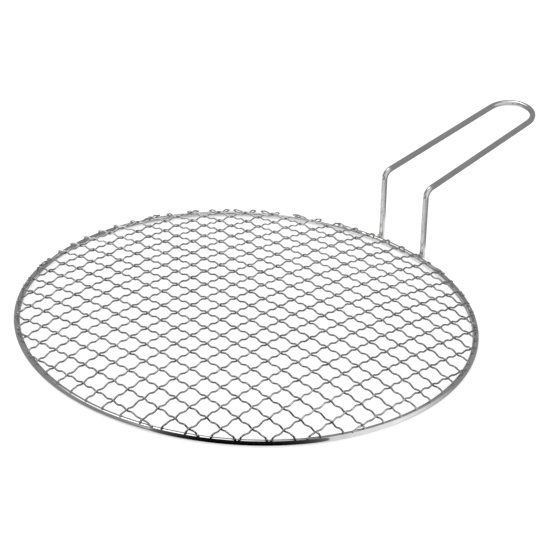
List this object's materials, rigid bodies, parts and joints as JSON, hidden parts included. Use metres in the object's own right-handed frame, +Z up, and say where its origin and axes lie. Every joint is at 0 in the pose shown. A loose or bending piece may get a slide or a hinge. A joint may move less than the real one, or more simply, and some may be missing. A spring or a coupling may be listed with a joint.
{
  "type": "round grill net with handle",
  "caption": "Round domed grill net of crimped, woven steel wires on a round wire rim, with a welded U-shaped wire handle that rises from the rim and reaches outward.",
  "frame": {"origin": "centre of the rim circle, on the plane that the underside of the rim rests on", "axes": "+Z up out of the dome, +Y from the rim's centre out along the handle, +X to the right when looking along +Y"},
  "size_m": [0.3, 0.4268, 0.0748],
  "materials": {
    "rim": "bright polished stainless wire, smooth",
    "handle": "bright polished stainless wire with faint drawing lines",
    "mesh": "bright drawn stainless wire, slightly satin",
    "weld": "small resistance welds, duller than the wire"
  },
  "bodies": {
    "root": {"rim_ring": "rim", "handle": "handle", "handle_weld_left": "weld", "handle_weld_right": "weld", "rim_spot_welds": "weld", "warp_wire_1": "mesh", "warp_wire_2": "mesh", "warp_wire_3": "mesh", "warp_wire_4": "mesh", "warp_wire_5": "mesh", "warp_wire_6": "mesh", "warp_wire_7": "mesh", "warp_wire_8": "mesh", "warp_wire_9": "mesh", "warp_wire_10": "mesh", "warp_wire_11": "mesh", "warp_wire_12": "mesh", "warp_wire_13": "mesh", "warp_wire_14": "mesh", "warp_wire_15": "mesh", "warp_wire_16": "mesh", "warp_wire_17": "mesh", "warp_wire_18": "mesh", "warp_wire_19": "mesh", "warp_wire_20": "mesh", "warp_wire_21": "mesh", "warp_wire_22": "mesh", "weft_wire_1": "mesh", "weft_wire_2": "mesh", "weft_wire_3": "mesh", "weft_wire_4": "mesh", "weft_wire_5": "mesh", "weft_wire_6": "mesh", "weft_wire_7": "mesh", "weft_wire_8": "mesh", "weft_wire_9": "mesh", "weft_wire_10": "mesh", "weft_wire_11": "mesh", "weft_wire_12": "mesh", "weft_wire_13": "mesh", "weft_wire_14": "mesh", "weft_wire_15": "mesh", "weft_wire_16": "mesh", "weft_wire_17": "mesh", "weft_wire_18": "mesh", "weft_wire_19": "mesh", "weft_wire_20": "mesh", "weft_wire_21": "mesh", "weft_wire_22": "mesh"}
  },
  "joints": []
}
